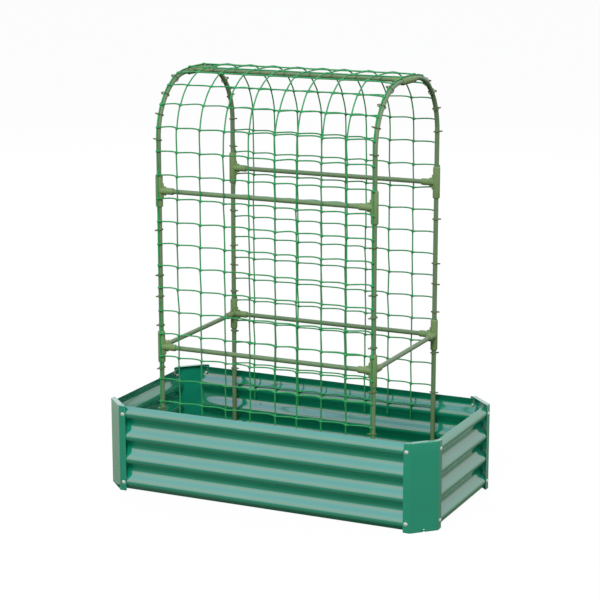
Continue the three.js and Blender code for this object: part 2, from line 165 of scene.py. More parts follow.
def result(tree, kind, inputs=None, **settings):
    """The first output of such a node."""
    return node(tree, kind, inputs, **settings).outputs[0]


def mixed(tree, factor, first, second):
    """A colour between two others."""
    return node(tree, "Mix", {0: factor, 6: first, 7: second}, data_type="RGBA").outputs[2]


def ranged(tree, value, start, end, low=0.0, high=1.0, **settings):
    """A value taken from one range to another."""
    inputs = {"Value": value, "From Min": start, "From Max": end, "To Min": low, "To Max": high}
    return result(tree, "MapRange", inputs, **settings)


def spread(tree, value, low, high):
    """The middle of a noise, where nearly all of it lies, stretched to a range of its own."""
    return ranged(tree, value, 0.3, 0.7, low, high)


def noise(tree, place, scale, detail=2.0):
    """Value of a noise of so many waves to the metre."""
    return result(tree, "TexNoise", {"Vector": place, "Scale": scale, "Detail": detail})


def skin_group(name, numbers):
    """An empty group of a place, two colours and some named numbers that puts out a skin."""
    group = bpy.data.node_groups.new(name, "ShaderNodeTree")
    sockets = [("Place", "Vector"), ("Colour", "Color"), ("Shade", "Color")]
    for label, kind in sockets + [(number, "Float") for number in numbers]:
        group.interface.new_socket(label, in_out="INPUT", socket_type="NodeSocket" + kind)
    for label, kind in (("Colour", "Color"), ("Roughness", "Float"), ("Normal", "Vector")):
        group.interface.new_socket(label, in_out="OUTPUT", socket_type="NodeSocket" + kind)
    given = group.nodes.new("NodeGroupInput").outputs
    out = group.nodes.new("NodeGroupOutput").inputs
    return group, given, out


def put_out(tree, given, out, drift, gloss, bump):
    """A skin's results: a drift from the colour to its shade, an uneven gloss and a bump."""
    tree.links.new(mixed(tree, drift, given["Colour"], given["Shade"]), out["Colour"])
    tree.links.new(result(tree, "Math", {0: given["Matt"], 1: gloss}, operation="MULTIPLY"), out["Roughness"])
    tree.links.new(result(tree, "Bump", bump), out["Normal"])


def sprayed_skin():
    """Sprayed sheet steel: slow drifts of tone, shallow dents of the rolling and faint orange peel."""
    tree, given, out = skin_group("sprayed_skin", ("Dent", "Peel", "Matt"))
    place = given["Place"]
    dents = noise(tree, place, PAINT_WAVES["dents"], 1.0)
    dented = result(tree, "Bump", {"Height": dents, "Distance": given["Dent"]})
    peel = noise(tree, place, PAINT_WAVES["peel"])
    bump = {"Height": peel, "Distance": given["Peel"], "Normal": dented}
    drift = spread(tree, noise(tree, place, PAINT_WAVES["tone"], 3.0), 0.0, 1.0)
    gloss = spread(tree, noise(tree, place, PAINT_WAVES["mist"]), 0.8, 1.3)
    put_out(tree, given, out, drift, gloss, bump)
    return tree


def skinned(name, group, colours, values, place="Object", **shader):
    """A Principled material with colour, roughness and normal from a skin group, given a colour and
    its shade; place is the output of a Texture Coordinate node or the name of a point attribute."""
    material = bpy.data.materials.new(name)
    material.use_nodes = True
    tree = material.node_tree
    if place == "Object":
        source = node(tree, "TexCoord").outputs["Object"]
    else:
        source = node(tree, "Attribute", attribute_name=place).outputs["Vector"]
    skin = tree.nodes.new("ShaderNodeGroup")
    skin.node_tree = group
    tree.links.new(source, skin.inputs["Place"])
    for label, value in {"Colour": colours[0], "Shade": colours[1], **values}.items():
        skin.inputs[label].default_value = value
    principled = tree.nodes["Principled BSDF"]
    for label, socket in (("Colour", "Base Color"), ("Roughness", "Roughness"), ("Normal", "Normal")):
        tree.links.new(skin.outputs[label], principled.inputs[socket])
    for label, value in shader.items():
        principled.inputs[label.replace("_", " ")].default_value = value
    return material


def wave_phase(height):
    """Angle of the wave at a height, 0 on a crest."""
    return (height - FIRST_CREST) * 2 * np.pi / WAVE_PITCH


def panel_patches(length, bottom, top):
    """Outer face at depth D/2 (1 - cos(2 pi (z - z0) / pitch)), inner face one sheet further along the
    normal, both swept along the panel; the points are along, depth and height."""
    height = np.linspace(bottom, top, PANEL_ROWS)
    phase = wave_phase(height)
    slope = WAVE_DEPTH * np.pi / WAVE_PITCH * np.sin(phase)
    normal = np.stack([np.ones_like(slope), -slope], axis=-1) / np.hypot(1, slope)[:, None]
    outer = np.stack([WAVE_DEPTH / 2 * (1 - np.cos(phase)), height], axis=-1)
    inner = outer + PANEL_SHEET * normal
    edges = (outer + inner) / 2
    top_edge = edges[-1:] + (0, RIM_ROUND)
    bottom_edge = edges[:1] - (0, RIM_ROUND)
    loop = np.concatenate([outer, top_edge, inner[::-1], bottom_edge])
    along = np.linspace(-length / 2, length / 2, PANEL_COLUMNS)
    sections = points_of(along[:, None], loop[:, 0], loop[:, 1])
    rung = np.arange(PANEL_ROWS - 1)
    far = 2 * PANEL_ROWS
    ladder = np.stack([rung, rung + 1, far - rung - 1, far - rung], axis=-1)
    tips = np.array([[PANEL_ROWS - 1, PANEL_ROWS, PANEL_ROWS + 1], [0, far, far + 1]])
    ends = [(sections[end], faces) for end in (0, -1) for faces in (ladder, tips)]
    return [(sections, quads(PANEL_COLUMNS, len(loop), columns_close=True))] + ends


def turned(patches, along, inward, start):
    """Patches drawn as along, inward and height, put at a start point of the planter."""
    basis = np.array([along, inward, (0, 0, 1)])
    return [(np.reshape(points, (-1, 3)) @ basis + start, faces) for points, faces in patches]


def paint_shade_on_inner_faces(mesh, paint, along, inward, crests):
    """A darker second paint, which is painted shade, for the faces that lie a sheet's thickness behind the
    outer wave.
    """
    centre, normal = (np.empty((len(mesh.polygons), 3)) for _ in range(2))
    mesh.polygons.foreach_get("center", centre.ravel())
    mesh.polygons.foreach_get("normal", normal.ravel())
    wave = WAVE_DEPTH / 2 * (1 - np.cos(wave_phase(centre[:, 2])))
    behind = centre @ inward - crests - wave > 0.75 * PANEL_SHEET
    at_end = np.abs(normal @ along) >= 0.5
    mesh.materials.append(paint)
    mesh.polygons.foreach_set("material_index", (behind & ~at_end).astype(np.int32))


sprayed = sprayed_skin()
gloss = {"IOR": 1.75, "Coat_Weight": 1.0, "Coat_Roughness": 0.09, "Coat_IOR": 1.75}
relief = {"Dent": 0.2 * MM, "Peel": 0.010 * MM, "Matt": 0.16}
panel_paint = skinned("green_panel_paint", sprayed, GREEN_PAINT, relief, **gloss)
# painted shade: a darker copy of the panel paint for the inner faces, which lie in the bed's shade
inner_shade_paint = skinned("green_paint_with_painted_shade", sprayed, INNER_PAINTED_SHADE, relief, **gloss)
SIDES = {
    "front": ((1, 0, 0), (0, 1, 0)),
    "right": ((0, 1, 0), (-1, 0, 0)),
    "back": ((-1, 0, 0), (0, -1, 0)),
    "left": ((0, -1, 0), (1, 0, 0)),
}
for side, (along, inward) in SIDES.items():
    low, high = box_of(f"panel_{side}")
    length = abs((high - low) @ along)
    crests = min(low @ inward, high @ inward)
    patches = turned(panel_patches(length, low[2], high[2]), along, inward, np.multiply(inward, crests))
    sheet = mesh_of(f"panel_sheet_{side}", patches)
    piece(f"panel_sheet_{side}", sheet, panel_paint, [f"panel_{side}"])
    # painted shade: the inner faces get the darker paint
    paint_shade_on_inner_faces(sheet, inner_shade_paint, along, inward, crests)

# ---------- corner brackets ----------
# Four pieces of 1.5 mm steel, each folded twice by 45 degrees into two flanges and a cut corner,
# with folded lips along the top and the bottom, a drain bite and a small hole. Painted green.
BRACKET_SHEET = 1.5 * MM
BEND_RADIUS = 3 * MM
CORNER_CUT = 71 * MM
FLANGE = 24 * MM
FOLD_RADIUS = 2.2 * MM
SLOT = 1.1 * MM  # from a bend's corner to the start of a lip
BITE_RADIUS = 5.3 * MM
BITE_TOP = 3.4 * MM
BITE_DEPTH = 6 * MM
HOLE_RADIUS = 2.4 * MM
HOLE_HEIGHT = 8.5 * MM
CELL = 4 * MM  # half a side of the square of wall round the hole
LIP_WIDTH = FLANGE / math.sqrt(2)  # of the cut corner's lip
MITRE = math.tan(math.radians(67.5))
LIP_START = 0.6 * MM  # from the relief slit to the first points of a lip
LIP_COLUMNS = 6  # on each side of the place where a lip reaches its whole width
BEND_STEPS = 6
FOLD_ANGLES = np.radians(np.arange(0, 91, 18))
WALL_ROWS = 8  # from the hole's square to the upper fold
OFF_CUT = 1.0  # stands for the offset of a column that isn't on the cut corner
BRACKET_GREEN = ((0.006, 0.270, 0.150, 1), (0.005, 0.250, 0.138, 1))


def lip_columns(length):
    """Distances from a bend's corner where a lip has its points, closer together near the mitre."""
    meet = (FLANGE + MITRE * SLOT) / (1 + MITRE) if length == FLANGE else SLOT + LIP_WIDTH / MITRE
    near = np.linspace(SLOT + LIP_START, meet, LIP_COLUMNS)
    return np.concatenate([near, np.linspace(meet, length, LIP_COLUMNS)[1:]])


def wall_stations():
    """The wall of a bracket at the front right: plan points, unit vectors into the bed, offsets of the
    cut corner's points from its middle and the number of the first of them. The plan is flange, 45
    degree arc, cut corner, arc and flange."""
    setback = BEND_RADIUS * math.tan(math.pi / 8)
    half = CORNER_CUT / math.sqrt(2)
    bite = np.sqrt(BITE_RADIUS**2 - (BITE_RADIUS - BITE_TOP) ** 2)
    middle = np.concatenate([np.arange(-4, 5) * CELL / 4, [-bite, bite]])
    side = half - lip_columns(half - 2 * bite)
    straight = np.sort(np.concatenate([middle, side, -side, [half - setback, setback - half]]))
    flange = np.concatenate([[setback], lip_columns(FLANGE)])
    first = np.stack([-CORNER_CUT - flange[::-1], np.zeros(len(flange))], axis=-1)
    last = np.stack([np.zeros(len(flange)), CORNER_CUT + flange], axis=-1)
    arc = np.linspace(0, math.pi / 4, BEND_STEPS + 1)[1:-1]
    spoke = np.stack([np.sin(arc), -np.cos(arc)], axis=-1)
    first_bow = np.array([-CORNER_CUT - setback, BEND_RADIUS]) + BEND_RADIUS * spoke
    last_bow = first_bow[::-1, ::-1] * (-1, -1)
    diagonal = np.array([1, 1]) / math.sqrt(2)
    cut = np.outer(straight, diagonal) + (-CORNER_CUT / 2, CORNER_CUT / 2)
    plan = np.concatenate([first, first_bow, cut, last_bow, last])
    away = np.concatenate([
        np.tile([0.0, -1.0], (len(first), 1)),
        spoke,
        np.tile(diagonal * (1, -1), (len(straight), 1)),
        spoke[::-1, ::-1] * (-1, -1),
        np.tile([1.0, 0.0], (len(last), 1)),
    ])
    return plan, -away, straight, len(first) + len(first_bow)


def lip_patch(plan, into, width, height):
    """A lip folded in from the top of the wall: depth d up to a width per column, and height
    H - r + sqrt(r^2 - (r - d)^2) while d is less than the fold radius r."""
    fold = FOLD_RADIUS * (1 - np.cos(FOLD_ANGLES))
    start = np.minimum(fold[:, None], width[None, :])
    share = np.array([(BITE_DEPTH - FOLD_RADIUS) / (LIP_WIDTH - FOLD_RADIUS), 1.0])
    base = np.minimum(FOLD_RADIUS, width)
    depth = np.concatenate([start, base + (width - base) * share[:, None]])
    rest = np.maximum(FOLD_RADIUS - depth, 0)
    up = height - FOLD_RADIUS + np.sqrt(FOLD_RADIUS**2 - rest**2)
    flat = plan + depth[:, :, None] * into
    return points_of(flat[:, :, 0], flat[:, :, 1], up), depth


def bracket_patches(height):
    """The outer skin, which gets its thickness afterwards: the wall as a sheet over plan and height, the
    hole as a ring of quads in a square of the wall, and six lips."""
    plan, into, straight, first_straight = wall_stations()
    ring_rows = np.array([-CELL, -CELL / 2, 0, CELL / 2, CELL]) + HOLE_HEIGHT
    tall = np.linspace(HOLE_HEIGHT + CELL, height - FOLD_RADIUS, WALL_ROWS)[1:]
    rows = np.concatenate([[FOLD_RADIUS], ring_rows, tall])
    wall = points_of(plan[:, 0], plan[:, 1], rows[:, None])
    near = np.clip(np.abs(straight), 0, BITE_RADIUS)
    bite = BITE_TOP - BITE_RADIUS + np.sqrt(BITE_RADIUS**2 - near**2)
    last_straight = first_straight + len(straight)
    straight_columns = slice(first_straight, last_straight)
    wall[0, straight_columns, 2] = np.maximum(FOLD_RADIUS, bite)
    corner = CORNER_CUT / math.sqrt(2)
    from_bend = np.concatenate([
        np.linalg.norm(plan[:first_straight] - (-CORNER_CUT, 0), axis=1),
        corner - np.abs(straight),
        np.linalg.norm(plan[last_straight:] - (0, CORNER_CUT), axis=1),
    ])
    at_slit = from_bend < SLOT + LIP_START / 2
    wall[0, at_slit, 2] = 0
    wall[-1, at_slit, 2] = height
    faces = quads(len(rows), len(plan)).reshape(len(rows) - 1, len(plan) - 1, 4)
    offset = np.full(len(plan), OFF_CUT)
    offset[straight_columns] = straight
    centre = (offset[1:] + offset[:-1]) / 2
    row = np.arange(len(rows) - 1)[:, None]
    in_cell = (np.abs(centre) < CELL) & (row >= 1) & (row < len(ring_rows))
    patches = [(wall, faces[~in_cell])]

    # the ring round the hole, from the square's edge to the circle at the same angles
    columns = np.flatnonzero(np.abs(offset) < CELL * 1.01)
    square = np.concatenate([
        wall[1, columns], wall[2:5, columns[-1]], wall[5, columns[::-1]], wall[4:1:-1, columns[0]],
    ])
    middle = np.array([-CORNER_CUT / 2, CORNER_CUT / 2, HOLE_HEIGHT])
    spoke = square - middle
    circle = middle + spoke * HOLE_RADIUS / np.linalg.norm(spoke, axis=1)[:, None]
    between = (square + circle) / 2
    patches.append((np.stack([square, between, circle]), quads(3, len(square), columns_close=True)))

    # the lips: flange, cut corner, flange, at the top and, upside down, at the bottom
    reach = FLANGE - from_bend
    reach[straight_columns] = LIP_WIDTH
    for span in np.split(np.arange(len(plan)), [first_straight, last_straight]):
        span = span[from_bend[span] > SLOT + LIP_START / 2]
        width = np.minimum(MITRE * (from_bend - SLOT), reach)[span]
        points, depth = lip_patch(plan[span], into[span], np.maximum(width, 0), height)
        faces = quads(len(points), len(span)).reshape(len(points) - 1, len(span) - 1, 4)
        patches.append((points, faces))
        bottom = points * (1, 1, -1) + (0, 0, height)
        mid_offset = (offset[span][1:] + offset[span][:-1]) / 2
        mid_depth = (depth[1:] + depth[:-1]) / 2
        bitten = (np.abs(mid_offset)[None, :] < BITE_RADIUS) & (mid_depth[:, :-1] < BITE_DEPTH)
        bitten &= offset[span][None, 1:] < OFF_CUT
        patches.append((bottom, faces[~bitten]))
    return patches


def applied(mesh, *modifiers, sharp=35):
    """A mesh with modifiers applied to it, each given as its kind and its settings."""
    holder = new_object(mesh.name, mesh)
    for kind, settings in modifiers:
        modifier = holder.modifiers.new(kind.lower(), kind)
        for key, value in settings.items():
            setattr(modifier, key, value)
    bpy.context.view_layer.update()
    graph = bpy.context.evaluated_depsgraph_get()
    made = bpy.data.meshes.new_from_object(holder.evaluated_get(graph))
    bpy.data.objects.remove(holder)
    return shaded(made, sharp)


bracket_paint = skinned(
    "green_bracket_paint", sprayed, BRACKET_GREEN, {**relief, "Matt": 0.20},
    IOR=1.6, Coat_Weight=1.0, Coat_Roughness=0.12, Coat_IOR=1.6,
)
CORNERS = {
    "front_right": (1, -1, SIDES["front"]),
    "back_right": (1, 1, SIDES["right"]),
    "back_left": (-1, 1, SIDES["back"]),
    "front_left": (-1, -1, SIDES["left"]),
}
thick = {"thickness": BRACKET_SHEET, "offset": -1.0, "use_even_offset": True, "use_rim": True}
for corner, (x_sign, y_sign, (along, inward)) in CORNERS.items():
    low, high = box_of(f"bracket_{corner}")
    sharp_corner = np.array([high[0] if x_sign > 0 else low[0], high[1] if y_sign > 0 else low[1], low[2]])
    patches = turned(bracket_patches(high[2] - low[2]), along, inward, sharp_corner)
    name = f"corner_bracket_{corner}"
    skin = mesh_of(name, patches, faces_away_from=Vector((0, 0, high[2] / 2)))
    piece(name, applied(skin, ("SOLIDIFY", thick)), bracket_paint, [f"bracket_{corner}"])

# ---------- screws with nuts ----------
# Sixteen zinc-plated pan head screws with a cross recess and a washer under the head, through the
# flange and the crest of the panel, each with a hexagon nut and a few threads showing inside.
HEAD_RADIUS = 6.2 * MM
HEAD_HEIGHT = 3.6 * MM
WASHER_RADIUS = 7.2 * MM
WASHER_SHEET = 0.9 * MM
SHANK_RADIUS = 3 * MM
THREAD_PITCH = 1 * MM
THREAD_DEPTH = 0.4 * MM
NUT_RADIUS = 5.6 * MM
NUT_HEIGHT = 4.5 * MM
NUT_SEAT = 4.8 * MM  # from the bracket's outer face to the nut
NUT_BEVEL = 0.5 * MM
TAIL = 2.5 * MM
TAIL_BEVEL = 0.4 * MM
HEAD_LIFT = 0.3 * MM  # of the washer over the bracket's face
HEAD_SKIRT = 0.5 * MM  # upright rim under the dome of the head
WASHER_EDGE = 0.2 * MM
RECESS_REACH = 2.9 * MM
RECESS_HALF = 0.62 * MM
RECESS_DEPTH = 2 * MM
RECESS_TAPER = 0.55
HEAD_SIDES = 28
SCREW_SHARP = 28  # degrees
ZINC = ((0.68, 0.82, 0.68, 1), (0.52, 0.64, 0.52, 1))


def ring_angles(sides):
    """Angles of the points of a ring."""
    return np.arange(sides) * 2 * np.pi / sides


def revolved(profile, sides):
    """Points (r cos a, r sin a, h) for every radius and height of a profile and every angle a."""
    radius, height = np.array(profile).T[:, :, None]
    angle = ring_angles(sides)
    return points_of(radius * np.cos(angle), radius * np.sin(angle), height)


def turning(profile, sides, closed=False):
    """A revolved profile as a patch; a closed profile makes a ring."""
    return revolved(profile, sides), quads(len(profile), sides, rows_close=closed, columns_close=True)


def recess_arm(x, y):
    """One arm of the cross recess: a box about the axis that is narrower at its floor."""
    top = HEAD_LIFT + HEAD_HEIGHT + MM
    floor = HEAD_LIFT + HEAD_HEIGHT - RECESS_DEPTH
    corners = np.array([(i * x, j * y, z) for z in (floor, top) for j in (-1, 1) for i in (-1, 1)])
    corners[:4, :2] *= RECESS_TAPER
    faces = [(0, 1, 3, 2), (4, 5, 7, 6), (0, 1, 5, 4), (2, 3, 7, 6), (0, 2, 6, 4), (1, 3, 7, 5)]
    return mesh_of("recess", [(corners, faces)])


def combined(mesh, steps, sharp=35):
    """A mesh after booleans, each given as its operation and the mesh that it adds or takes away."""
    tools = [(kind, new_object("cutter", tool)) for kind, tool in steps]
    modifiers = [
        ("BOOLEAN", {"operation": kind, "solver": "MANIFOLD", "object": tool}) for kind, tool in tools
    ]
    made = applied(mesh, *modifiers, sharp=sharp)
    for _, tool in tools:
        bpy.data.objects.remove(tool)
    return made


def screw_mesh():
    """Head and washer as a turned dome less a tapered cross, a turned shank with ridges, and a nut
    with chamfered corners round it; +Z points out of the bed and z = 0 is the bracket's face."""
    base = HEAD_LIFT + WASHER_SHEET
    dome = np.linspace(0, math.pi / 2, 7)
    crown = HEAD_HEIGHT - WASHER_SHEET - HEAD_SKIRT
    head = [(HEAD_RADIUS * math.sin(a), base + HEAD_SKIRT + crown * math.cos(a)) for a in dome]
    head += [(HEAD_RADIUS, base), (WASHER_RADIUS - WASHER_EDGE, base), (WASHER_RADIUS, base - WASHER_EDGE)]
    head += [(WASHER_RADIUS, HEAD_LIFT), (SHANK_RADIUS, HEAD_LIFT)]
    end = -NUT_SEAT - NUT_HEIGHT - TAIL
    plain = -NUT_SEAT - NUT_HEIGHT / 2
    for step in range(int((plain - end) / THREAD_PITCH * 2)):
        head.append((SHANK_RADIUS - THREAD_DEPTH * (step % 2), plain - step * THREAD_PITCH / 2))
    head.append((SHANK_RADIUS - THREAD_DEPTH, end + TAIL_BEVEL))
    head += [(SHANK_RADIUS - 2 * THREAD_DEPTH, end), (0, end)]
    body = mesh_of("screw_body", [turning(head, HEAD_SIDES)])
    arms = [recess_arm(RECESS_REACH, RECESS_HALF), recess_arm(RECESS_HALF, RECESS_REACH)]
    body = combined(body, [("DIFFERENCE", arm) for arm in arms], SCREW_SHARP)
    bore = SHANK_RADIUS - THREAD_DEPTH / 2
    near, far = -NUT_SEAT, -NUT_SEAT - NUT_HEIGHT
    nut_profile = [
        (bore, near), (NUT_RADIUS - NUT_BEVEL, near), (NUT_RADIUS, near - NUT_BEVEL),
        (NUT_RADIUS, far + NUT_BEVEL), (NUT_RADIUS - NUT_BEVEL, far), (bore, far),
    ]
    nut = mesh_of("nut", [turning(nut_profile, 6, closed=True)])
    return combined(body, [("UNION", nut)], SCREW_SHARP)


def copied(mesh, name, basis, start):
    """A copy of a mesh with its points put through three row vectors and moved."""
    made = mesh.copy()
    made.name = name
    points = np.empty(len(made.vertices) * 3)
    made.vertices.foreach_get("co", points)
    placed = points.reshape(-1, 3) @ np.array(basis) + start
    made.vertices.foreach_set("co", placed.ravel())
    made.update()
    return made


def moulded_skin():
    """Moulded or drawn plastic: slow drifts of tone, a fine grain and a little uneven gloss."""
    tree, given, out = skin_group("moulded_skin", ("Drift", "Grain", "Height", "Matt"))
    drift = spread(tree, noise(tree, given["Place"], given["Drift"]), 0.0, 1.0)
    grain = noise(tree, given["Place"], given["Grain"], 3.0)
    bump = {"Height": grain, "Distance": given["Height"]}
    put_out(tree, given, out, drift, spread(tree, grain, 0.85, 1.2), bump)
    return tree


moulded = moulded_skin()
look = {"Drift": 260.0, "Grain": 1500.0, "Height": 0.004 * MM, "Matt": 0.36}
zinc = skinned("zinc_plate", moulded, ZINC, look, Metallic=0.45)
screw = screw_mesh()
for corner, (x_sign, y_sign, _) in CORNERS.items():
    for level in ("lower", "upper"):
        for run, outward in (("long", (0, y_sign, 0)), ("short", (x_sign, 0, 0))):
            node_name = f"screw_{corner}_{run}_{level}"
            low, high = box_of(node_name)
            bracket_low, bracket_high = box_of(f"bracket_{corner}")
            face = max(bracket_low @ outward, bracket_high @ outward)
            start = (low + high) / 2 * (1 - np.abs(outward)) + np.multiply(outward, face)
            basis = [np.cross((0, 0, 1), outward), (0, 0, 1), outward]
            name = f"cross_screw_{corner}_{run}_{level}"
            piece(name, copied(screw, name, basis, start), zinc, [node_name])
bpy.data.meshes.remove(screw)

# ---------- trellis tubes ----------
# Steel tubes of 16 mm with a drawn olive-green plastic coat: four legs, four posts, four bent hoop
# quarters, five long and two short bars. Their ends are pushed into the joints.
TUBE_RADIUS = 8 * MM
TUBE_BORE = 6.8 * MM
TUBE_SIDES = 32
HOOP_BEND = 200 * MM
STREAK_STRETCH = 0.03  # of the coat's noise along a tube
TUBE_OLIVE = ((0.130, 0.224, 0.098, 1), (0.112, 0.199, 0.083, 1))


def swept(path, radius, sides, reference, close=False):
    """Rings round a path: p + r (cos a u + sin a w), where u is tangent x reference and w is
    tangent x u."""
    if close:
        tangent = np.roll(path, -1, axis=0) - np.roll(path, 1, axis=0)
    else:
        tangent = np.gradient(path, axis=0)
    tangent /= np.linalg.norm(tangent, axis=1)[:, None]
    across = np.cross(tangent, reference)
    across /= np.linalg.norm(across, axis=1)[:, None]
    other = np.cross(tangent, across)
    angle = ring_angles(sides)
    spokes = np.cos(angle)[:, None] * across[:, None] + np.sin(angle)[:, None] * other[:, None]
    return path[:, None] + np.broadcast_to(radius, len(path))[:, None, None] * spokes


def hollow_tube(name, path, reference):
    """The outer skin along a path and the bore back again, with the unrolled place of every point
    kept in the attribute "drawn" so that the streaks of the coat run along the tube."""
    outer = swept(path, TUBE_RADIUS, TUBE_SIDES, reference)
    inner = swept(path, TUBE_BORE, TUBE_SIDES, reference)[::-1]
    points = np.concatenate([outer, inner])
    mesh = mesh_of(name, [(points, quads(len(points), TUBE_SIDES, rows_close=True, columns_close=True))])
    run = np.concatenate([[0], np.cumsum(np.linalg.norm(np.diff(path, axis=0), axis=1))])
    angle = ring_angles(TUBE_SIDES)
    run = np.concatenate([run, run[::-1]])[:, None] * STREAK_STRETCH
    drawn = points_of(np.cos(angle) * TUBE_RADIUS, np.sin(angle) * TUBE_RADIUS, run)
    attribute = mesh.attributes.new("drawn", "FLOAT_VECTOR", "POINT")
    attribute.data.foreach_set("vector", drawn.ravel())
    return mesh


look = {"Drift": 90.0, "Grain": 700.0, "Height": 0.01 * MM, "Matt": 0.34}
coated = skinned("olive_tube_coat", moulded, TUBE_OLIVE, look, "drawn", IOR=1.6)
straight_tubes = [f"{kind}_{corner}" for kind in ("leg", "post") for corner in CORNERS]
straight_tubes += [f"{level}_bar_{side}" for level in ("lower", "upper") for side in ("front", "back")]
straight_tubes += ["end_bar_left", "end_bar_right", "ridge_bar"]
for tube in straight_tubes:
    low, high = box_of(tube)
    axis = int(np.argmax(high - low))
    start, end = ((low + high) / 2 for _ in range(2))
    start[axis], end[axis] = low[axis], high[axis]
    path = start + np.linspace(0, 1, 5)[:, None] * (end - start)
    reference = (0, 0, 1) if axis < 2 else (1, 0, 0)
    piece(f"coated_{tube}", hollow_tube(f"coated_{tube}", path, reference), coated, [tube])

tube_x = {}
for corner, (x_sign, y_sign, _) in CORNERS.items():
    hoop = f"hoop_tube_{corner}"
    low, high = box_of(hoop)
    x = (low[0] + high[0]) / 2
    side_y = max(high[1], -low[1]) - TUBE_RADIUS  # distance of the upright from the middle
    top_z = high[2] - TUBE_RADIUS
    near_y = min(abs(low[1]), abs(high[1]))
    shoulder_y, shoulder_z = side_y - HOOP_BEND, top_z - HOOP_BEND
    turn = np.linspace(0, math.pi / 2, 25)
    upright = np.linspace(low[2], shoulder_z, 4)[:-1]
    level = np.linspace(shoulder_y, near_y, 3)[1:]
    away = np.concatenate([np.full(len(upright), side_y), shoulder_y + HOOP_BEND * np.cos(turn), level])
    height = np.concatenate([upright, shoulder_z + HOOP_BEND * np.sin(turn), np.full(len(level), top_z)])
    path = np.stack([np.full(len(away), x), y_sign * away, height], axis=-1)
    piece(f"coated_{hoop}", hollow_tube(f"coated_{hoop}", path, (1, 0, 0)), coated, [hoop])
    tube_x[corner] = x

# ---------- push-fit joints ----------
# Ten olive-green plastic mouldings that the tubes push into: a sleeve with tapered mouths and one
# or two branches, stiffened above and below each branch by a thin web cut in two steps.
SOCKET_RADIUS = 8.3 * MM
SLEEVE_RADIUS = 12.25 * MM
SLEEVE_HALF = 54 * MM
BRANCH_RADIUS = 11.5 * MM
BRANCH_REACH = 54 * MM
BRANCH_FLOOR = 14.5 * MM
STOP_HALF = 1 * MM
MOUTH_TAPER = 3.6 * MM
MOUTH_RIM = 1.5 * MM
MOUTH_ROUND = 0.35 * MM
WEB_HALF = 2.5 * MM
WEB_ROUND = 0.7 * MM
LOW_STEP = (13 * MM, 3.8 * MM)  # reach past the sleeve, rise over the branch
HIGH_STEP = (4.3 * MM, 13.8 * MM)
JOINT_SIDES = 40
JOINT_OLIVE = ((0.168, 0.270, 0.100, 1), (0.148, 0.243, 0.086, 1))


def mouth(radius, end):
    """Profile of a tapered mouth with a soft edge, from the full radius to the rim at its end."""
    rim, shoulder = SOCKET_RADIUS + MOUTH_RIM, end - MOUTH_TAPER
    return [
        (radius, shoulder - MOUTH_ROUND), (radius - MOUTH_ROUND / 2, shoulder + MOUTH_ROUND),
        (rim + MOUTH_ROUND, end - MOUTH_ROUND), (rim, end),
    ]


def socket(start, end):
    """Profile of a bore for a tube."""
    return [(0, start), (SOCKET_RADIUS, start), (SOCKET_RADIUS, end), (0, end)]


def joint_web(aim, side):
    """The stepped web of a branch, above and below it, in the plane of the sleeve and the branch."""
    low_x, high_x = SLEEVE_RADIUS + LOW_STEP[0], SLEEVE_RADIUS + HIGH_STEP[0]
    low_z, high_z = BRANCH_RADIUS + LOW_STEP[1], BRANCH_RADIUS + HIGH_STEP[1]
    half = [(low_x, low_z), (high_x, low_z), (high_x, high_z), (SOCKET_RADIUS + MM, high_z)]
    outline = np.array([(x, -z) for x, z in reversed(half)] + half)
    middle = outline[:, :1] * aim
    flats = [middle + y * np.array(side) + outline[:, 1:] * (0, 0, 1) for y in (-WEB_HALF, WEB_HALF)]
    web = [(flat, [list(range(len(outline)))]) for flat in flats]
    web.append((np.stack(flats), quads(2, len(outline), columns_close=True)))
    soft = {"width": WEB_ROUND, "segments": 2, "limit_method": "ANGLE", "angle_limit": 0.6}
    return applied(mesh_of("web", web), ("BEVEL", soft))


def joint_mesh(name, branch_angles):
    """Sleeve along Z, branches at angles from +X, and their webs, all joined, less the sockets."""
    upper = mouth(SLEEVE_RADIUS, SLEEVE_HALF)
    lower = [(radius, -height) for radius, height in reversed(upper)]
    sleeve = [(0, -SLEEVE_HALF)] + lower + upper + [(0, SLEEVE_HALF)]
    added, taken = [], []
    for angle in branch_angles:
        aim, side = (math.cos(angle), math.sin(angle), 0), (-math.sin(angle), math.cos(angle), 0)
        upright = np.array((side, (0, 0, 1), aim))  # turns a body along Z to the branch's direction
        branch = [(0, 0), (BRANCH_RADIUS, 0)] + mouth(BRANCH_RADIUS, BRANCH_REACH) + [(0, BRANCH_REACH)]
        for profile, group in ((branch, added), (socket(BRANCH_FLOOR, 2 * BRANCH_REACH), taken)):
            points, faces = turning(profile, JOINT_SIDES)
            group.append(mesh_of("branch", [(points.reshape(-1, 3) @ upright, faces)]))
        added.append(joint_web(aim, side))
    for start, end in ((STOP_HALF, 2 * SLEEVE_HALF), (-2 * SLEEVE_HALF, -STOP_HALF)):
        taken.append(mesh_of("socket", [turning(socket(start, end), JOINT_SIDES)]))
    steps = [("UNION", mesh) for mesh in added] + [("DIFFERENCE", mesh) for mesh in taken]
    return combined(mesh_of(name, [turning(sleeve, JOINT_SIDES)]), steps, sharp=32)


